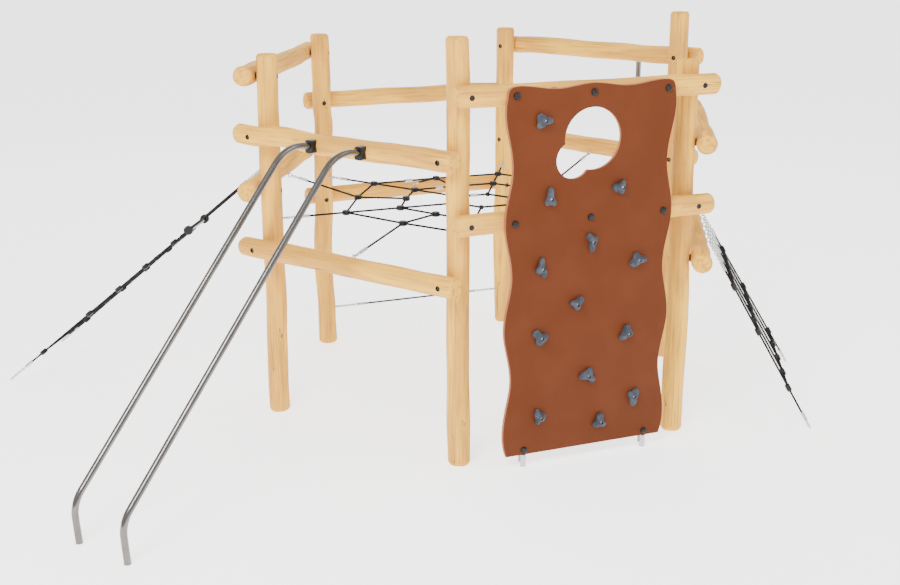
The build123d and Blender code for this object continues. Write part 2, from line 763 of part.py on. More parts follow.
def make_holds():
    """Thirteen faceted stones, each with its bolt and the flanged nut behind the panel."""
    side = panel_side
    bolts, nuts = [], []
    for number, (outline, along, level, turn) in enumerate(hold_places, start=1):
        reaches = hold_outlines[outline]
        step = 360 / len(reaches)
        base = [polar(reach, turn + step * k, 0) for k, reach in enumerate(reaches)]
        crown = [polar(reach * hold_top_scale, turn + hold_twist + step * k, 0)
                 for k, reach in enumerate(reaches)]
        foot = Plane(side.at(along, panel_face, level), x_dir=side.run, z_dir=side.out)
        head = Plane(side.at(along, panel_face + hold_depth, level), x_dir=side.run, z_dir=side.out)
        stone = loft([foot * make_face(Polyline(*base, close=True)),
                      head * make_face(Polyline(*crown, close=True))], ruled=True).solid()
        seat = panel_face + hold_head_seat
        tip = panel_back - nut_flange_thickness
        bore = rod(side.at(along, 0, level), side.at(along, 2 * panel_face, level),
                   hold_bolt_diameter / 2 + fixed_gap)
        pocket = rod(side.at(along, seat, level), side.at(along, 2 * panel_face, level),
                     hold_bolt_head / 2 + 1)
        nodes[f"climbing_hold_{number:02d}"] = [without(stone, [bore, pocket])]
        shank = rod(side.at(along, tip, level), side.at(along, seat, level), hold_bolt_diameter / 2)
        cap = rod(side.at(along, seat, level), side.at(along, seat + hold_head_height, level),
                  hold_bolt_head / 2)
        bolts.append(shank.fuse(cap).solid())
        flange = rod(side.at(along, tip, level), side.at(along, panel_back, level), nut_flange_diameter / 2)
        barrel = rod(side.at(along, tip, level), side.at(along, panel_back + nut_barrel_length, level),
                     nut_barrel_diameter / 2)
        nuts.append(without(flange.fuse(barrel).solid(), [bore]))
    nodes["hold_bolts"] = bolts
    nodes["hold_flange_nuts"] = nuts


# ================================================================== logs, with every cut they need
def make_posts():
    for name, (angle, height) in posts.items():
        log = Solid.make_cylinder(post_radius, height, Plane(polar(ring_radius, angle, 0)))
        log = chamfer(log.edges().sort_by(Axis.Z)[-1], post_top_chamfer).solid()
        nodes[name] = [without(log, wood_cuts[name])]


def make_beams():
    for side in sides:
        for level_name, level, (back, ahead) in zip(("upper", "lower"), side.levels, side.overhangs):
            back, ahead = back + ring_radius / 2, ahead + ring_radius / 2
            log = rod(side.at(-back, beam_axis, level), side.at(ahead, beam_axis, level), beam_radius)
            log = fillet(log.edges().filter_by(GeomType.CIRCLE), beam_end_round).solid()
            name = beam_name(side, level_name)
            nodes[name] = [without(log, wood_cuts[name])]


make_centre_net()
make_foot_rope()
make_left_net()
make_right_net()
nodes["tube_flanges"] = make_bars() + make_pole()
make_panel()
make_holds()
make_posts()
make_beams()
nodes["beam_spacers"] = spacers
nodes["beam_through_bolts"] = through_bolts
nodes["beam_through_nuts"] = through_nuts
nodes["beam_bolt_caps"] = bolt_caps
nodes["net_clamps"] = clamps
nodes["rope_chains"] = chains
nodes["rope_eye_screws"] = eyes
nodes["rope_ferrules"] = ferrules

# ================================================================== footprint centre and files
everything = Compound([solid for solids in nodes.values() for solid in solids]).bounding_box()
to_origin = Location((-everything.center().X, -everything.center().Y, -everything.min.Z))
print("ring centre from the origin:", round(-everything.center().X, 3), round(-everything.center().Y, 3))
print("size:", everything.size)
for name, solids in nodes.items():
    whole = Compound(solids) if len(solids) > 1 else solids[0]
    export_step(whole.moved(to_origin), f"parts/{name}.step")
print(len(nodes), "nodes")
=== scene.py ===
"""Six-post timber climbing ring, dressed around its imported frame."""
import logging
import math
from dataclasses import dataclass, field
from enum import Enum
from typing import Any, Iterable

import bmesh
import bpy
import numpy as np
from mathutils import Matrix, Vector, noise

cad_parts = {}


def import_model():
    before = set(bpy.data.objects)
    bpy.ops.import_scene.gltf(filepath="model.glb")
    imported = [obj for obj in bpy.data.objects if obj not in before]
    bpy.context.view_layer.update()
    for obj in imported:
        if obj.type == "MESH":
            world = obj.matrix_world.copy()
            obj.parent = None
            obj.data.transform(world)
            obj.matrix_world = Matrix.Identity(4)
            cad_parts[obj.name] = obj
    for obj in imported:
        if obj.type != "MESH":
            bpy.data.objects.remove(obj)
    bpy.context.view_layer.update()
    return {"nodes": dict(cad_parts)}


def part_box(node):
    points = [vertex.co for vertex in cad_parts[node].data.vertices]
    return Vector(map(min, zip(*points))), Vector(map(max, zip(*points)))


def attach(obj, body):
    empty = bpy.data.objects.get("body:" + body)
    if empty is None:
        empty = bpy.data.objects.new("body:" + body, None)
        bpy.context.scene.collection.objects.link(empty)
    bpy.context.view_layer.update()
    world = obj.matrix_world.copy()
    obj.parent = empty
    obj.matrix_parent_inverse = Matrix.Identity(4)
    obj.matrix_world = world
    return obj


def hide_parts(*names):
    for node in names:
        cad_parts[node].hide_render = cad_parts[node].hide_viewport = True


log = logging.getLogger("climbing_ring")
logging.basicConfig(level=logging.INFO, format="%(name)s: %(message)s")

GRAIN = "grain"


class Body(Enum):
    """The rigid bodies of the frame."""

    FRAME = "frame"
    RUNG = "rung"


class Slot(Enum):
    """Material slots of the record."""

    TIMBER = "timber"
    ROPE = "rope"
    STONE = "stone"


# ------------------------------------------------------------------ shader maths
class Value:
    """A number socket that adds Math nodes when it is used in an expression."""

    def __init__(self, shader: "Shader", socket: bpy.types.NodeSocket) -> None:
        """Keeps the socket and the shader that it belongs to."""
        self.shader, self.socket = shader, socket

    def _math(self, operation: str, *values: Any) -> "Value":
        """Adds one Math node and returns its output."""
        node = self.shader.node("ShaderNodeMath", {"operation": operation}, dict(enumerate(values)))
        return Value(self.shader, node.outputs[0])

    def __add__(self, other: Any) -> "Value":
        """Sum."""
        return self._math("ADD", self, other)

    def __sub__(self, other: Any) -> "Value":
        """Difference."""
        return self._math("SUBTRACT", self, other)

    def __rsub__(self, other: Any) -> "Value":
        """Reflected difference."""
        return self._math("SUBTRACT", other, self)

    def __mul__(self, other: Any) -> "Value":
        """Product."""
        return self._math("MULTIPLY", self, other)

    __radd__, __rmul__ = __add__, __mul__

    def distance_to(self, level: float) -> "Value":
        """Absolute distance from a level."""
        return self._math("ABSOLUTE", self - level)

    def below(self, limit: float, soft: float) -> "Value":
        """One under a limit, fading to nothing over a soft width."""
        return self.shader.ramp_between(self, limit, limit + soft, 1.0, 0.0)

    def above(self, limit: float, soft: float) -> "Value":
        """One over a limit, fading to nothing below it."""
        return self.shader.ramp_between(self, limit - soft, limit, 0.0, 1.0)


class Shader:
    """One node material and the ways to fill it."""

    def __init__(self, name: str) -> None:
        """Makes an empty material with a principled surface."""
        self.material = bpy.data.materials.new(name)
        self.material.use_nodes = True
        self.tree = self.material.node_tree
        self.surface = next(n for n in self.tree.nodes if n.type == "BSDF_PRINCIPLED")

    def node(self, kind: str, settings: dict | None = None, inputs: dict | None = None) -> bpy.types.Node:
        """Adds a node.

        Args:
            kind: the node's type.
            settings: properties that are set before the sockets.
            inputs: socket name or number to a value or a link.

        Returns:
            The new node.
        """
        node = self.tree.nodes.new(kind)
        for key, value in (settings or {}).items():
            setattr(node, key, value)
        for key, value in (inputs or {}).items():
            self.feed(node.inputs[key], value)
        return node

    def feed(self, socket: bpy.types.NodeSocket, value: Any) -> None:
        """Links or sets one socket."""
        if isinstance(value, Value):
            self.tree.links.new(value.socket, socket)
        elif isinstance(value, bpy.types.NodeSocket):
            self.tree.links.new(value, socket)
        else:
            socket.default_value = value

    def ramp_between(self, value: Value, low: float, high: float, start: float, end: float) -> Value:
        """Maps a value from one span to another, clamped and smooth."""
        node = self.node("ShaderNodeMapRange", {"interpolation_type": "SMOOTHSTEP"},
                         {0: value, 1: low, 2: high, 3: start, 4: end})
        return Value(self, node.outputs[0])

    def place(self, grain: bool) -> bpy.types.NodeSocket:
        """The pattern's coordinates: along the log, or the object's own."""
        if grain:
            return self.node("ShaderNodeAttribute", {"attribute_name": GRAIN}).outputs["Vector"]
        return self.node("ShaderNodeTexCoord").outputs["Object"]

    def stretched(self, vector: bpy.types.NodeSocket, scale: tuple) -> bpy.types.NodeSocket:
        """Coordinates scaled axis by axis."""
        return self.node("ShaderNodeMapping", None, {"Vector": vector, "Scale": scale}).outputs[0]

    def noise(self, vector: bpy.types.NodeSocket, scale: float, detail: float = 4.0) -> Value:
        """Cloudy noise from nothing to one."""
        node = self.node("ShaderNodeTexNoise", None, {"Vector": vector, "Scale": scale, "Detail": detail})
        return Value(self, node.outputs[0])

    def cells(self, vector: bpy.types.NodeSocket, scale: float, feature: str = "F1") -> bpy.types.Node:
        """Voronoi cells."""
        return self.node("ShaderNodeTexVoronoi", {"feature": feature}, {"Vector": vector, "Scale": scale})

    def mix(self, factor: Value, first: Any, second: Any) -> bpy.types.NodeSocket:
        """Mixes two colours."""
        node = self.node("ShaderNodeMix", {"data_type": "RGBA"})
        self.feed(node.inputs[0], factor)
        self.feed(node.inputs[6], first)
        self.feed(node.inputs[7], second)
        return node.outputs[2]

    def finish(self, colour: Any, roughness: Any, metallic: float = 0.0,
               height: Value | None = None, depth: float = 0.001,
               specular: float = 0.5) -> bpy.types.Material:
        """Feeds the surface and returns the material."""
        self.surface.inputs["Specular IOR Level"].default_value = specular
        self.feed(self.surface.inputs["Base Color"], colour)
        self.feed(self.surface.inputs["Roughness"], roughness)
        self.surface.inputs["Metallic"].default_value = metallic
        if height is not None:
            bump = self.node("ShaderNodeBump", None, {"Height": height, "Distance": depth, "Strength": 1.0})
            self.feed(self.surface.inputs["Normal"], bump.outputs[0])
        return self.material


# ------------------------------------------------------------------ finishes
@dataclass(frozen=True)
class PeeledTimber:
    """Debarked log wood: streaks, grey patches, drying cracks and knots."""

    pale: tuple = (0.84, 0.455, 0.05, 1)
    warm: tuple = (0.62, 0.30, 0.045, 1)
    shade: tuple = (0.40, 0.185, 0.035, 1)
    crack: tuple = (0.13, 0.07, 0.03, 1)
    knot: tuple = (0.16, 0.085, 0.04, 1)

    def side_grain(self) -> bpy.types.Material:
        """The log's long surface."""
        s = Shader("peeled_timber")
        place = s.place(True)
        broad = s.noise(s.stretched(place, (9, 9, 1.6)), 1.0, 5)
        streak = s.noise(s.stretched(place, (60, 60, 2.2)), 1.0, 6)
        fibre = s.noise(s.stretched(place, (240, 240, 7)), 1.0, 3)
        colour = s.mix(broad.above(0.60, 0.25), self.pale, self.warm)
        colour = s.mix(streak.above(0.72, 0.26) * 0.65, colour, self.shade)
        seam = s.noise(s.stretched(place, (16, 16, 0.9)), 1.0, 2)
        where = s.noise(s.stretched(place, (5, 5, 1.1)), 1.0, 1)
        cracks = seam.distance_to(0.5).below(0.0015, 0.005) * where.above(0.66, 0.05)
        cell = s.cells(s.stretched(place, (3.1, 3.1, 1.5)), 1.0)
        away = Value(s, cell.outputs["Distance"])
        knots = away.below(0.045, 0.025)
        halo = away.below(0.09, 0.10)
        colour = s.mix(halo * 0.5, colour, self.warm)
        colour = s.mix(knots * 0.85, colour, self.knot)
        colour = s.mix(cracks, colour, self.crack)
        height = fibre * 0.25 + streak * 0.5 + broad * 0.6 - cracks * 1.6 + halo * 0.5
        return s.finish(colour, s.ramp_between(streak, 0.3, 0.8, 0.62, 0.85), height=height, depth=0.003, specular=0.25)

    def end_grain(self) -> bpy.types.Material:
        """The sawn ends, with rings and star cracks."""
        s = Shader("sawn_timber_end")
        place = s.place(True)
        wave = s.node("ShaderNodeTexWave", {"wave_type": "RINGS", "rings_direction": "Z"},
                      {"Vector": place, "Scale": 42.0, "Distortion": 2.2, "Detail": 3.0})
        rings = Value(s, wave.outputs["Fac"])
        spots = s.noise(place, 38.0, 5)
        colour = s.mix(rings * 0.65, self.pale, self.warm)
        colour = s.mix(spots.above(0.66, 0.2) * 0.6, colour, self.shade)
        return s.finish(colour, 0.85, height=rings * 0.5 + spots, depth=0.0012,
                        specular=0.2)


@dataclass(frozen=True)
class PaintedRecessShade:
    """Painted shade: a near-black colour on the walls and floor of each recess around a sunk bolt head, standing in for
    the shade that falls there.
    """

    # tone is the painted recess shade; worn is a slightly lighter mottle within the same painted shade, not wear.
    tone: tuple = (0.004, 0.0035, 0.003, 1)
    worn: tuple = (0.015, 0.011, 0.008, 1)

    def make(self) -> bpy.types.Material:
        """The painted recess shade's material."""
        s = Shader("painted_recess_shade")
        # Noise that mottles the painted recess shade between two near-blacks and drives a fine bump; it is not dirt.
        shade_mottle = s.noise(s.place(False), 220.0, 3)
        return s.finish(s.mix(shade_mottle, self.tone, self.worn), 0.8, height=shade_mottle, depth=0.0004, specular=0.15)


@dataclass(frozen=True)
class CoatedSheet:
    """Brown coated panel with a paler cut edge."""

    face: tuple = (0.100, 0.0235, 0.0055, 1)
    deep: tuple = (0.092, 0.0215, 0.0050, 1)
    edge: tuple = (0.36, 0.14, 0.065, 1)

    def make(self) -> bpy.types.Material:
        """The panel's material."""
        s = Shader("coated_sheet")
        place = s.place(False)
        cloud = s.noise(place, 3.5, 4)
        grit = s.noise(place, 420.0, 2)
        facing = s.node("ShaderNodeSeparateXYZ", None,
                        {0: s.node("ShaderNodeNewGeometry").outputs["True Normal"]})
        flat = Value(s, facing.outputs[1]).distance_to(0.0).above(0.85, 0.1)
        plies = s.node("ShaderNodeTexWave", {"bands_direction": "Y"},
                       {"Vector": place, "Scale": 90.0, "Distortion": 0.6})
        rim = s.mix(Value(s, plies.outputs["Fac"]) * 0.35, self.edge, self.face)
        front = s.mix(cloud.above(0.62, 0.3), self.face, self.deep)
        colour = s.mix(flat, rim, front)
        return s.finish(colour, s.ramp_between(cloud, 0.3, 0.7, 0.55, 0.66), height=grit, depth=0.0002,
                        specular=0.12)


@dataclass(frozen=True)
class GrittyStone:
    """Slate-coloured cast grip."""

    base: tuple = (0.029, 0.034, 0.046, 1)
    worn: tuple = (0.056, 0.064, 0.082, 1)

    def make(self) -> bpy.types.Material:
        """The grips' material."""
        s = Shader("gritty_stone")
        place = s.place(False)
        cloud, grit = s.noise(place, 22.0, 5), s.noise(place, 520.0, 2)
        colour = s.mix(cloud.above(0.66, 0.3), self.base, self.worn)
        return s.finish(colour, 0.8, height=grit + cloud, depth=0.0012, specular=0.3)


@dataclass(frozen=True)
class LaidRope:
    """Black fibre rope."""

    fibre: tuple = (0.006, 0.006, 0.007, 1)
    dusty: tuple = (0.022, 0.021, 0.02, 1)

    def make(self) -> bpy.types.Material:
        """The ropes' material."""
        s = Shader("laid_rope")
        place = s.place(False)
        fuzz, dust = s.noise(place, 900.0, 2), s.noise(place, 14.0, 4)
        colour = s.mix(dust.above(0.68, 0.3), self.fibre, self.dusty)
        return s.finish(colour, 0.9, height=fuzz, depth=0.0006, specular=0.15)


@dataclass(frozen=True)
class MouldedPlastic:
    """Black moulded caps, clamps and flanges."""

    base: tuple = (0.004, 0.004, 0.004, 1)
    scuffed: tuple = (0.016, 0.016, 0.016, 1)

    def make(self) -> bpy.types.Material:
        """The mouldings' material."""
        s = Shader("moulded_plastic")
        place = s.place(False)
        scuff, pebble = s.noise(place, 30.0, 6), s.noise(place, 700.0, 1)
        colour = s.mix(scuff.above(0.68, 0.2), self.base, self.scuffed)
        return s.finish(colour, s.ramp_between(scuff, 0.3, 0.7, 0.32, 0.52), height=pebble, depth=0.0002,
                        specular=0.25)


@dataclass(frozen=True)
class BrushedTube:
    """Stainless tube, faintly brushed and handled."""

    bright: tuple = (0.165, 0.155, 0.145, 1)
    dull: tuple = (0.125, 0.117, 0.11, 1)

    def make(self) -> bpy.types.Material:
        """The tubes' material."""
        s = Shader("brushed_tube")
        place = s.place(False)
        haze = s.noise(place, 6.0, 5)
        colour = s.mix(haze.above(0.64, 0.3), self.bright, self.dull)
        return s.finish(colour, s.ramp_between(haze, 0.3, 0.7, 0.17, 0.27), 1.0, haze, 0.0001)


@dataclass(frozen=True)
class ZincCoat:
    """Galvanised fittings with a spangled coat."""

    bright: tuple = (0.60, 0.61, 0.63, 1)
    grey: tuple = (0.38, 0.39, 0.41, 1)

    def make(self) -> bpy.types.Material:
        """The fittings' material."""
        s = Shader("zinc_coat")
        place = s.place(False)
        spangle = s.cells(place, 160.0)
        tone = s.node("ShaderNodeSeparateColor", None, {0: spangle.outputs["Color"]})
        grade = Value(s, tone.outputs[0])
        pits = s.noise(place, 500.0, 2)
        colour = s.mix(grade, self.grey, self.bright)
        return s.finish(colour, s.ramp_between(grade, 0.0, 1.0, 0.33, 0.52), 0.9, pits, 0.00025)


@dataclass(frozen=True)
class RecessShadedSteel:
    """Bolts and nuts that sit in the recesses: dull steel, darkened to near black with painted shade from the recesses.
    """

    # base is steel darkened as painted recess shade; rubbed adds lighter random patches.
    base: tuple = (0.020, 0.019, 0.018, 1)
    rubbed: tuple = (0.11, 0.105, 0.10, 1)

    def make(self) -> bpy.types.Material:
        """The sunk bolts' material, with painted recess shade in its dark base."""
        s = Shader("steel_with_painted_shade")
        place = s.place(False)
        rub, pits = s.noise(place, 90.0, 4), s.noise(place, 600.0, 2)
        colour = s.mix(rub.above(0.66, 0.25), self.base, self.rubbed)
        return s.finish(colour, s.ramp_between(rub, 0.3, 0.7, 0.4, 0.6), 0.8, pits, 0.0002)


@dataclass(frozen=True)
class PaleFloor:
    """Plain studio floor."""

    tone: tuple = (0.94, 0.94, 0.935, 1)
    glow: float = 1.9

    def make(self) -> bpy.types.Material:
        """The floor's material."""
        s = Shader("pale_floor")
        s.surface.inputs["Emission Color"].default_value = (1, 1, 1, 1)
        s.surface.inputs["Emission Strength"].default_value = self.glow
        return s.finish(self.tone, 0.9)


# ------------------------------------------------------------------ help with meshes
def islands(node: bpy.types.Object) -> list[np.ndarray]:
    """The separate solids of a CAD node, each as its vertices in metres."""
    work = bmesh.new()
    work.from_mesh(node.data)
    bmesh.ops.remove_doubles(work, verts=work.verts, dist=1e-6)
    seen: set = set()
    found = []
    for vert in work.verts:
        if vert in seen:
            continue
        stack, group = [vert], []
        seen.add(vert)
        while stack:
            here = stack.pop()
            group.append(tuple(here.co))
            for edge in here.link_edges:
                other = edge.other_vert(here)
                if other not in seen:
                    seen.add(other)
                    stack.append(other)
        found.append(np.array(group))
    work.free()
    return found


def main_axes(points: np.ndarray) -> tuple[np.ndarray, np.ndarray]:
    """Centre of a solid's box-like spread and its axes, longest first."""
    centre = (points.max(0) + points.min(0)) / 2
    _, _, axes = np.linalg.svd(points - points.mean(0), full_matrices=False)
    return centre, axes


def new_piece(name: str, work: bmesh.types.BMesh, materials: Iterable[bpy.types.Material]) -> bpy.types.Object:
    """Turns mesh work into a linked object at the origin."""
    mesh = bpy.data.meshes.new(name)
    work.to_mesh(mesh)
    work.free()
    for material in materials:
        mesh.materials.append(material)
    piece = bpy.data.objects.new(name, mesh)
    bpy.context.scene.collection.objects.link(piece)
    return piece


def baked(piece: bpy.types.Object) -> None:
    """Replaces a piece's mesh with its modifiers' result and removes them."""
    graph = bpy.context.evaluated_depsgraph_get()
    mesh = bpy.data.meshes.new_from_object(piece.evaluated_get(graph))
    piece.modifiers.clear()
    piece.data = mesh


# ------------------------------------------------------------------ logs
@dataclass
class Logs:
    """Posts and beams as peeled, slightly crooked logs."""

    around: int = 56
    station: float = 0.018
    bend: float = 0.014
    waviness: float = 0.0045
    rest_reach: float = 0.06
    seat_half: float = 0.058
    pin_width: float = 0.16
    recess_radius: float = 0.018
    recess_out: float = 0.120
    recess_in: float = 0.130
    recess_wall: float = 0.014
    recess_cut: float = 0.07
    end_round: float = 0.012
    flat_half: float = 0.665
    finish: PeeledTimber = field(default_factory=PeeledTimber)
    # Painted shade for the walls and floors of the bolt recesses.
    recess_shade_paint: PaintedRecessShade = field(default_factory=PaintedRecessShade)
    rests: list = field(default_factory=list)

    def build(self, nodes: dict[str, bpy.types.Object]) -> int:
        """Builds every log.

        Args:
            nodes: the CAD nodes by name.

        Returns:
            How many logs were made.
        """
        # The third skin is the painted recess shade.
        skins = (self.finish.side_grain(), self.finish.end_grain(), self.recess_shade_paint.make())
        self.rests = [(points.max(0) + points.min(0)) / 2
                      for name in ("rope_eye_screws", "tube_flanges") for points in islands(nodes[name])]
        seats = [self.seat(points) for points in islands(nodes["beam_spacers"])]
        names = [name for name in nodes if name.endswith(("_post", "_beam"))]
        for number, name in enumerate(sorted(names)):
            self.one_log(name, number, nodes[name], seats, skins)
        return len(names)

    def seat(self, points: np.ndarray) -> tuple[Vector, Vector]:
        """Centre of a spacer, and the direction from its post to its beam."""
        centre, axes = main_axes(points)
        out = Vector(axes[2])
        out.z = 0
        out.normalize()
        middle = Vector(self.middle)
        if out.dot(Vector(centre) - middle) < 0:
            out = -out
        return Vector(centre), out

    @property
    def middle(self) -> tuple[float, float, float]:
        """Centre of the ring of posts."""
        boxes = [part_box(f"{side}_post") for side in ("left", "right")]
        return tuple((boxes[0][0][k] + boxes[1][1][k]) / 2 if k < 2 else 0.0 for k in range(3))

    def one_log(self, name: str, number: int, node: bpy.types.Object,
                seats: list[tuple[Vector, Vector]], skins: tuple) -> None:
        """Builds one log in its CAD node's place."""
        low, high = (Vector(corner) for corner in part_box(name))
        centre = (low + high) / 2
        upright = name.endswith("_post")
        points = np.array([vert.co for vert in node.data.vertices])
        if upright:
            axis = Vector((0, 0, 1))
            radius = (high.x - low.x) / 2
        else:
            away = centre - Vector(self.middle)
            turn = round(math.degrees(math.atan2(away.y, away.x)) / 60 - 0.5) * 60 + 30
            axis = Vector((-math.sin(math.radians(turn)), math.cos(math.radians(turn)), 0))
            radius = (high.z - low.z) / 2
        across = Vector((0, 0, 1)).cross(axis).normalized() if not upright else Vector((1, 0, 0))
        third = axis.cross(across)
        reach = (points - np.array(centre)) @ np.array(axis)
        start, end = float(reach.min()), float(reach.max())
        mine = []
        for spot, out in seats:
            gap = spot - centre
            off = gap - axis * gap.dot(axis)
            if start < gap.dot(axis) < end and off.length < radius + 0.02:
                mine.append((spot, out if upright else -out, gap.dot(axis)))
        pins = [place for _, _, place in mine]
        for rest in self.rests:
            gap = Vector(rest) - centre
            off = gap - axis * gap.dot(axis)
            if start < gap.dot(axis) < end and off.length < radius + self.rest_reach:
                pins.append(gap.dot(axis))
        bend = self.bend * (0.15 if name.startswith("panel_") else 1.0)
        work = bmesh.new()
        count = max(8, round((end - start) / self.station))
        rings = []
        for k in range(count + 1):
            t = start + (end - start) * k / count
            rings.append(self.ring(work, centre, axis, across, third, t, start, end, radius, number,
                                   mine, pins, bend))
        for first, second in zip(rings, rings[1:]):
            for j in range(self.around):
                i = (j + 1) % self.around
                work.faces.new((first[j], first[i], second[i], second[j]))
        work.faces.new(list(reversed(rings[0])))
        work.faces.new(rings[-1])
        if name.startswith("panel_"):
            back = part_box("climbing_panel")[1].y + 0.0002
            for vert in work.verts:
                if abs(vert.co.x - centre.x) < self.flat_half and vert.co.y < back:
                    vert.co.y = back
        bmesh.ops.recalc_face_normals(work, faces=work.faces)
        piece = new_piece(name.replace("_post", "_post_log").replace("_beam", "_beam_log"), work, skins)
        self.recesses(piece, mine, upright)
        self.dress(piece, centre, axis, across, third, start, end)
        # Paints shade into the recesses.
        self.paint_recess_shade(piece, mine, upright)
        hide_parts(name)
        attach(piece, Body.FRAME.value)

    def ring(self, work: bmesh.types.BMesh, centre: Vector, axis: Vector, across: Vector, third: Vector,
             t: float, start: float, end: float, radius: float, number: int, mine: list,
             pins: list, bend: float) -> list:
        """One ring of a log's vertices, bent and wavy away from its joints."""
        free = 1.0
        for place in pins:
            free *= 1 - math.exp(-((t - place) / self.pin_width) ** 2)
        shift = Vector((noise.noise(Vector((t * 0.9, number * 7.3, 0.0))),
                        noise.noise(Vector((t * 0.9, number * 7.3, 9.0))), 0)) * (bend * 2 * free)
        edge = min(t - start, end - t)
        rounding = 0.0
        if edge < self.end_round:
            inset = self.end_round - edge
            rounding = self.end_round - math.sqrt(max(0.0, self.end_round ** 2 - inset ** 2))
        verts = []
        for j in range(self.around):
            angle = 2 * math.pi * j / self.around
            side = Vector((math.cos(angle), math.sin(angle)))
            wave = noise.noise(Vector((side.x * 0.8, side.y * 0.8, t * 2.6 + number * 11.0)))
            fine = noise.noise(Vector((side.x * 3.5, side.y * 3.5, t * 5.0 + number * 5.0)))
            r = radius - 0.0005 + (wave * self.waviness * 1.6 + fine * 0.0012) * (0.25 + 0.75 * free)
            r -= rounding
            spot = centre + axis * t + across * (side.x * r + shift.x) + third * (side.y * r + shift.y)
            for seat, out, place in mine:
                if abs(t - place) < self.seat_half:
                    over = (spot - seat).dot(out) + 0.005
                    if over > 0:
                        spot = spot - out * over
            verts.append(work.verts.new(spot))
        return verts

    def recesses(self, piece: bpy.types.Object, mine: list, upright: bool) -> None:
        """Sinks a round recess for each bolt head or nut, on the side away from the seat."""
        if not mine:
            return
        work = bmesh.new()
        floor = self.recess_in if upright else self.recess_out
        for seat, out, _ in mine:
            length = self.recess_cut
            turn = Vector((0, 0, 1)).rotation_difference(-out).to_matrix().to_4x4()
            spot = Matrix.Translation(seat - out * (floor + length / 2)) @ turn
            bmesh.ops.create_cone(work, cap_ends=True, segments=32, radius1=self.recess_radius,
                                  radius2=self.recess_radius, depth=length, matrix=spot)
        cutter = new_piece("recess_cutter", work, ())
        cut = piece.modifiers.new("recess", "BOOLEAN")
        cut.operation, cut.object, cut.solver = "DIFFERENCE", cutter, "EXACT"
        baked(piece)
        bpy.data.objects.remove(cutter)

    def dress(self, piece: bpy.types.Object, centre: Vector, axis: Vector, across: Vector,
              third: Vector, start: float, end: float) -> None:
        """Writes the grain coordinates, and gives the sawn ends their own finish."""
        mesh = piece.data
        grain = mesh.attributes.new(GRAIN, "FLOAT_VECTOR", "POINT")
        offset = Vector((centre.x * 3.1, centre.y * 2.3, centre.z))
        for k, vert in enumerate(mesh.vertices):
            gap = vert.co - centre
            along = gap.dot(axis) + offset.length * 4
            grain.data[k].vector = Vector((gap.dot(across), gap.dot(third), along))
        for face in mesh.polygons:
            place = (face.center - centre).dot(axis)
            at_end = min(place - start, end - place) < 0.004
            face.material_index = 1 if at_end and abs(face.normal.dot(axis)) > 0.8 else 0
            face.use_smooth = face.material_index == 0 and len(face.vertices) == 4


    def paint_recess_shade(self, piece: bpy.types.Object, mine: list, upright: bool) -> None:
        """Paints shade onto the walls and floor of each recess, standing in for the shade that falls in it."""
        floor = self.recess_in if upright else self.recess_out
        for face in piece.data.polygons:
            for seat, out, _ in mine:
                gap = face.center - seat
                depth = -gap.dot(out)
                off = (gap + out * depth).length
                if floor - 0.001 < depth < floor + self.recess_wall and off < self.recess_radius + 0.0004:
                    # A face inside a recess gets the painted shade.
                    face.material_index = 2
                    face.use_smooth = False


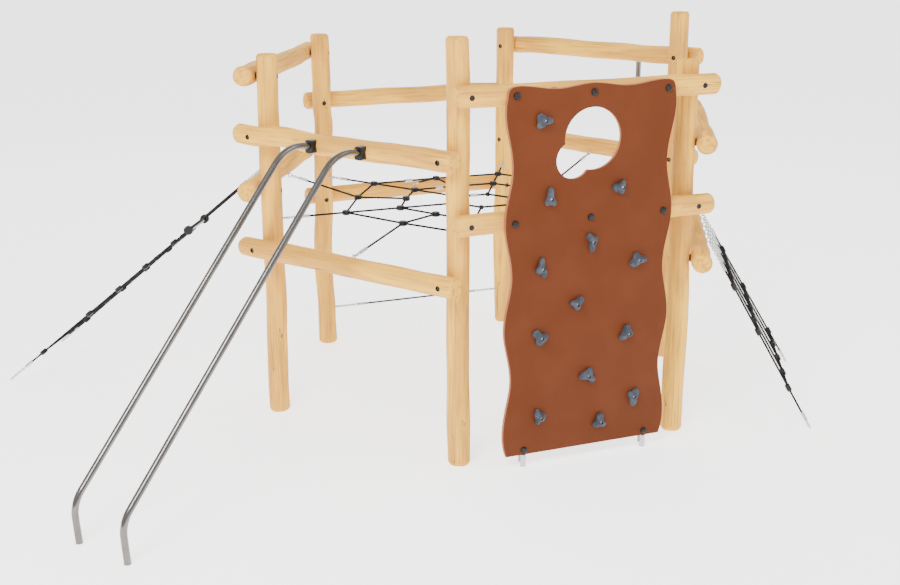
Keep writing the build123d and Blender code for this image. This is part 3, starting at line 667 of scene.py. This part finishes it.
# ------------------------------------------------------------------ ropes
@dataclass
class NetRopes:
    """Laid ropes that follow each straight run of a net."""

    strands: int = 4
    lay_turns: float = 22.0
    step: float = 0.006
    groove: float = 0.10
    finish: LaidRope = field(default_factory=LaidRope)

    def tree(self, material: bpy.types.Material) -> bpy.types.NodeTree:
        """Geometry Nodes that turn edges into twisted rope."""
        tree = bpy.data.node_groups.new("laid_rope_runs", "GeometryNodeTree")
        face = tree.interface
        face.new_socket("Runs", in_out="INPUT", socket_type="NodeSocketGeometry")
        for name, value in (("Radius", 0.008), ("Step", self.step), ("Turns per metre", self.lay_turns),
                            ("Groove", self.groove)):
            face.new_socket(name, in_out="INPUT", socket_type="NodeSocketFloat").default_value = value
        face.new_socket("Rope", in_out="OUTPUT", socket_type="NodeSocketGeometry")
        add, link = tree.nodes.new, tree.links.new
        source, sink = add("NodeGroupInput"), add("NodeGroupOutput")

        def maths(operation: str, first: Any, second: Any) -> bpy.types.NodeSocket:
            """One Math node in this tree."""
            node = add("ShaderNodeMath")
            node.operation = operation
            for socket, value in zip(node.inputs, (first, second)):
                if isinstance(value, bpy.types.NodeSocket):
                    link(value, socket)
                elif value is not None:
                    socket.default_value = value
            return node.outputs[0]

        runs, resample = add("GeometryNodeMeshToCurve"), add("GeometryNodeResampleCurve")
        resample.mode = "LENGTH"
        link(source.outputs["Runs"], runs.inputs[0])
        link(runs.outputs[0], resample.inputs["Curve"])
        link(source.outputs["Step"], resample.inputs["Length"])
        place, tilt = add("GeometryNodeSplineParameter"), add("GeometryNodeSetCurveTilt")
        turns = maths("MULTIPLY", place.outputs["Length"], source.outputs["Turns per metre"])
        link(resample.outputs[0], tilt.inputs[0])
        link(maths("MULTIPLY", turns, 2 * math.pi), tilt.inputs["Tilt"])
        circle = add("GeometryNodeCurvePrimitiveCircle")
        circle.inputs["Resolution"].default_value = 16
        link(source.outputs["Radius"], circle.inputs["Radius"])
        index, position, shape = add("GeometryNodeInputIndex"), add("GeometryNodeInputPosition"), \
            add("GeometryNodeSetPosition")
        lobe = maths("COSINE", maths("MULTIPLY", index.outputs[0], 2 * math.pi * self.strands / 16), None)
        shrink = maths("MULTIPLY", maths("SUBTRACT", lobe, 1.0), maths("MULTIPLY", source.outputs["Groove"], 0.5))
        scaled = add("ShaderNodeVectorMath")
        scaled.operation = "SCALE"
        link(position.outputs[0], scaled.inputs[0])
        link(shrink, scaled.inputs["Scale"])
        link(circle.outputs[0], shape.inputs["Geometry"])
        link(scaled.outputs[0], shape.inputs["Offset"])
        sweep = add("GeometryNodeCurveToMesh")
        sweep.inputs["Fill Caps"].default_value = True
        link(tilt.outputs[0], sweep.inputs["Curve"])
        link(shape.outputs[0], sweep.inputs["Profile Curve"])
        real, paint = add("GeometryNodeRealizeInstances"), add("GeometryNodeSetMaterial")
        paint.inputs["Material"].default_value = material
        link(sweep.outputs[0], real.inputs[0])
        link(real.outputs[0], paint.inputs[0])
        link(paint.outputs[0], sink.inputs[0])
        return tree

    def build(self, nodes: dict[str, bpy.types.Object]) -> int:
        """Builds the rope pieces of every net and returns how many there are."""
        material = self.finish.make()
        tree = self.tree(material)
        names = [name for name in nodes if name.endswith("_ropes") or name == "foot_rope"]
        for name in sorted(names):
            work = bmesh.new()
            for points in islands(nodes[name]):
                _, axes = main_axes(points)
                middle = points.mean(0)
                reach = (points - middle) @ axes[0]
                centre = middle + axes[0] * ((reach.max() + reach.min()) / 2)
                half = (reach.max() - reach.min()) / 2
                ends = [work.verts.new(centre + axes[0] * (half * hand)) for hand in (-1, 1)]
                work.edges.new(ends)
            piece = new_piece(f"{name}_laid", work, (material,))
            weave = piece.modifiers.new("weave", "NODES")
            weave.node_group = tree
            baked(piece)
            if not piece.data.materials:
                piece.data.materials.append(material)
            for face in piece.data.polygons:
                face.use_smooth = len(face.vertices) == 4
            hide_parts(name)
            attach(piece, Body.FRAME.value)
        return len(names)


# ------------------------------------------------------------------ holds
@dataclass
class Grips:
    """Chipped cast grips in place of the plain hold solids."""

    levels: tuple = ((0.0, 1.0), (0.28, 1.08), (0.62, 0.92), (0.88, 0.66), (1.0, 0.42))
    around: int = 14
    bevel: float = 0.003
    pocket_radius: float = 0.0105
    pocket_floor: float = 0.024
    finish: GrittyStone = field(default_factory=GrittyStone)

    def build(self, nodes: dict[str, bpy.types.Object]) -> int:
        """Builds each grip and returns how many there are."""
        material = self.finish.make()
        names = sorted(name for name in nodes if name.startswith("climbing_hold_"))
        bolts = [main_axes(points)[0] for points in islands(nodes["hold_bolts"])]
        for number, name in enumerate(names):
            self.one_grip(name, number, material, bolts)
        return len(names)

    def sink_bolt(self, piece: bpy.types.Object, face: float, bolts: list, centre: Vector) -> None:
        """Opens the pocket that the grip's bolt head sits in."""
        bolt = min(bolts, key=lambda spot: math.hypot(spot[0] - centre.x, spot[2] - centre.z))
        work = bmesh.new()
        length = 0.08
        spot = Matrix.Translation((bolt[0], face - self.pocket_floor - length / 2, bolt[2]))
        bmesh.ops.create_cone(work, cap_ends=True, segments=28, radius1=self.pocket_radius,
                              radius2=self.pocket_radius, depth=length,
                              matrix=spot @ Matrix.Rotation(math.pi / 2, 4, "X"))
        cutter = new_piece("pocket_cutter", work, ())
        cut = piece.modifiers.new("pocket", "BOOLEAN")
        cut.operation, cut.object, cut.solver = "DIFFERENCE", cutter, "EXACT"
        baked(piece)
        bpy.data.objects.remove(cutter)

    def one_grip(self, name: str, number: int, material: bpy.types.Material, bolts: list) -> None:
        """Builds one lobed, faceted grip inside its CAD node's box."""
        low, high = (Vector(corner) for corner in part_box(name))
        centre = (low + high) / 2
        half_x, half_z, depth = (high.x - low.x) / 2, (high.z - low.z) / 2, high.y - low.y
        work = bmesh.new()
        rings = []
        for k, (rise, share) in enumerate(self.levels):
            verts = []
            for j in range(self.around):
                angle = 2 * math.pi * j / self.around + 0.5 * rise
                lobes = (0.82 + 0.26 * math.cos(3 * angle + number * 1.7)
                         + 0.14 * math.cos(2 * angle + number * 2.9))
                chip = noise.noise(Vector((math.cos(angle) * 1.4, math.sin(angle) * 1.4,
                                           rise * 1.3 + number * 3.7))) * 0.20
                reach = share * min(1.16, lobes + chip)
                lean = 0.10 * rise * math.sin(number * 2.1)
                verts.append(work.verts.new((
                    centre.x + half_x * (reach * math.cos(angle) + lean),
                    high.y - depth * rise * (1 - 0.10 * abs(chip) * 5 * rise),
                    centre.z + half_z * (reach * math.sin(angle) - lean))))
            rings.append(verts)
        for first, second in zip(rings, rings[1:]):
            for j in range(self.around):
                i = (j + 1) % self.around
                work.faces.new((first[j], first[i], second[i], second[j]))
        work.faces.new(rings[0])
        work.faces.new(rings[-1])
        bmesh.ops.recalc_face_normals(work, faces=work.faces)
        bmesh.ops.triangulate(work, faces=work.faces)
        piece = new_piece(f"{name}_grip", work, (material,))
        edge = piece.modifiers.new("edge", "BEVEL")
        edge.width, edge.segments, edge.angle_limit = self.bevel, 2, math.radians(18)
        baked(piece)
        self.sink_bolt(piece, high.y, bolts, centre)
        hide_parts(name)
        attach(piece, Body.FRAME.value)


# ------------------------------------------------------------------ kept nodes
@dataclass
class Fittings:
    """CAD nodes whose shape is right, with their finishes; the sunk bolts and nuts also carry painted recess shade."""

    def build(self, nodes: dict[str, bpy.types.Object]) -> int:
        """Dresses each kept node and returns how many there are."""
        plastic, zinc = MouldedPlastic().make(), ZincCoat().make()
        tube, sheet = BrushedTube().make(), CoatedSheet().make()
        black = ("net_clamps", "tube_flanges", "left_net_rung_pucks", "panel_bolt_domes", "beam_bolt_caps",
                 "beam_spacers", "centre_net_hub_knots")
        recess_shaded_steel = RecessShadedSteel().make()
        sunk = ("beam_through_bolts", "beam_through_nuts")
        bright = ("sloping_bar_left", "sloping_bar_right", "fire_pole", "left_net_rung_tube")
        count = 0
        for name, node in nodes.items():
            if node.hide_render:
                continue
            material = zinc
            if name in black:
                material = plastic
            # The sunk bolts and nuts get steel darkened with painted recess shade.
            elif name in sunk:
                material = recess_shaded_steel
            elif name in bright:
                material = tube
            elif name == "climbing_panel":
                material = sheet
            for slot in node.material_slots:
                slot.material = material
            if not node.material_slots:
                node.data.materials.append(material)
            count += 1
        return count


# ------------------------------------------------------------------ studio
@dataclass
class Studio:
    """Floor, lights and camera."""

    eye: tuple = (-3.5236, -9.0210, 3.4799)
    pitch: float = 74.213
    yaw: float = -22.697
    lens: float = 52.63
    floor_size: float = 900.0
    dome: tuple = (0.95, 1.20)
    lights: tuple = (
        ((-5.5, -6.5, 8.5), 1250.0, 4.0),
        ((7.0, -5.0, 7.0), 380.0, 5.0),
        ((2.0, 8.0, 8.0), 420.0, 6.0),
    )

    def build(self) -> None:
        """Makes the floor, the lights and the camera."""
        scene = bpy.context.scene
        work = bmesh.new()
        bmesh.ops.create_grid(work, x_segments=1, y_segments=1, size=self.floor_size / 2)
        floor = new_piece("floor", work, (PaleFloor().make(),))
        floor.location.z = -0.001
        for number, (spot, power, size) in enumerate(self.lights):
            data = bpy.data.lights.new(f"softbox_{number}", "AREA")
            data.energy, data.size = power, size
            lamp = bpy.data.objects.new(data.name, data)
            lamp.location = spot
            lamp.rotation_euler = (Vector((0.2, 0, 1.0)) - Vector(spot)).to_track_quat("-Z", "Y").to_euler()
            scene.collection.objects.link(lamp)
        world = bpy.data.worlds.new("studio")
        world.use_nodes = True
        self.sky(world.node_tree)
        scene.world = world
        data = bpy.data.cameras.new("photo_view")
        data.lens, data.sensor_width, data.clip_end = self.lens, 36.0, 1000.0
        camera = bpy.data.objects.new("photo_view", data)
        camera.location = self.eye
        camera.rotation_euler = (math.radians(self.pitch), 0, math.radians(self.yaw))
        scene.collection.objects.link(camera)
        scene.camera = camera


    def sky(self, tree: bpy.types.NodeTree) -> None:
        """A dome that is bright overhead and darker near the horizon, for contrast in the tubes."""
        direction, parts = tree.nodes.new("ShaderNodeTexCoord"), tree.nodes.new("ShaderNodeSeparateXYZ")
        grade = tree.nodes.new("ShaderNodeMapRange")
        for number, value in enumerate((0.0, 0.55, *self.dome), start=1):
            grade.inputs[number].default_value = value
        tree.links.new(direction.outputs["Generated"], parts.inputs[0])
        tree.links.new(parts.outputs[2], grade.inputs[0])
        tree.links.new(grade.outputs[0], tree.nodes["Background"].inputs[1])
        tree.nodes["Background"].inputs[0].default_value = (1, 1, 1, 1)


def main() -> None:
    """Builds and reports every sub-assembly."""
    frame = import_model()
    nodes = frame["nodes"]
    log.info("logs: %d", Logs().build(nodes))
    log.info("rope pieces: %d", NetRopes().build(nodes))
    log.info("grips: %d", Grips().build(nodes))
    log.info("kept fittings: %d", Fittings().build(nodes))
    Studio().build()


if __name__ == "__main__":
    main()
